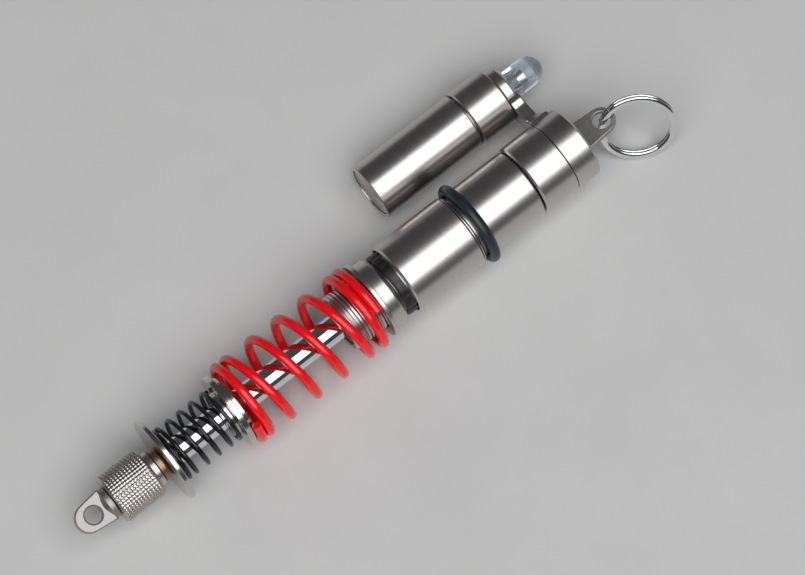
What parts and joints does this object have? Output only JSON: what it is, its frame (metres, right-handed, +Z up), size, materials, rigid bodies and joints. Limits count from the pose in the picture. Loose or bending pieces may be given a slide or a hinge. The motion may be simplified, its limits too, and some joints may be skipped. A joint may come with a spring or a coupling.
{
  "type": "key-ring coilover with torch reservoir",
  "caption": "Key-ring coilover shock with a red main spring, black helper spring, knurled adjuster, piggyback torch reservoir and split ring, lying on its side.",
  "frame": {"origin": "bottom centre of the whole object's box, as it lies on a table", "axes": "+X along the shock from the lower eye to the key ring, +Y towards the reservoir's side, +Z up"},
  "size_m": [0.1174, 0.0286, 0.015],
  "materials": {
    "satin_nickel": "satin, brushed round the axis",
    "knurled_nickel": "fine square knurl and threads",
    "chrome": "bright",
    "dull_brass": "dull, plain turned",
    "red_enamel": "gloss",
    "blackened_steel": "gloss black",
    "plain_steel": "plain",
    "blue_grey_rubber": "matt",
    "clear_epoxy": "clear",
    "white_plastic": "moulded"
  },
  "bodies": {
    "body": {"body_tube": "satin_nickel", "body_sleeve": "satin_nickel", "body_collar": "satin_nickel", "body_o_ring": "blue_grey_rubber", "bridge_cap": "satin_nickel", "key_ring_tab": "satin_nickel", "pilot_tube": "satin_nickel", "rod_bush": "dull_brass", "upper_spring_seat": "satin_nickel", "lock_ring": "blackened_steel", "main_spring": "red_enamel", "torch_head": "satin_nickel", "led_lens": "clear_epoxy", "led_holder": "white_plastic", "led_lead_minus": "plain_steel", "led_lead_plus": "plain_steel", "contact_disc": "dull_brass"},
    "plunger": {"piston_rod": "chrome", "rod_stop_nut": "plain_steel", "stop_washer": "blue_grey_rubber", "lower_perch": "satin_nickel", "brass_stem": "dull_brass", "lower_eye": "satin_nickel"},
    "adjuster": {"adjuster_knob": "knurled_nickel"},
    "divider": {"spring_divider": "satin_nickel", "helper_spring": "blackened_steel"},
    "battery_barrel": {"battery_barrel": "satin_nickel", "barrel_end_disc": "knurled_nickel", "battery_spring": "plain_steel", "button_cell_1": "plain_steel", "button_cell_2": "plain_steel", "button_cell_3": "plain_steel", "contact_pin": "dull_brass"},
    "key_ring": {"split_key_ring": "chrome"}
  },
  "joints": [
    {"name": "plunger_slide", "type": "slide", "parent": "body", "child": "plunger", "axis": [1, 0, 0], "range_m": [0, 0.01], "stiffness_N_per_m": 440, "springref_m": -0.002, "deforming": ["main_spring"]},
    {"name": "divider_slide", "type": "slide", "parent": "body", "child": "divider", "axis": [1, 0, 0], "range_m": [0, 0.0045], "deforming": ["helper_spring"]},
    {"name": "adjuster_spin", "type": "hinge", "parent": "plunger", "child": "adjuster", "pos_m": [-0.05551, -0.00568, 0.0075], "axis": [1, 0, 0], "continuous": true},
    {"name": "torch_twist", "type": "hinge", "parent": "body", "child": "battery_barrel", "pos_m": [-0.05551, 0.00914, 0.00515], "axis": [1, 0, 0], "range_deg": [0, 90]},
    {"name": "key_ring_swing", "type": "hinge", "parent": "body", "child": "key_ring", "pos_m": [0.04849, -0.00568, 0.0075], "axis": [0, 0, 1], "range_deg": [-25, 130]}
  ],
  "couplings": [
    {"joint": "divider_slide", "follows": "plunger_slide", "ratio": 0.45}
  ]
}
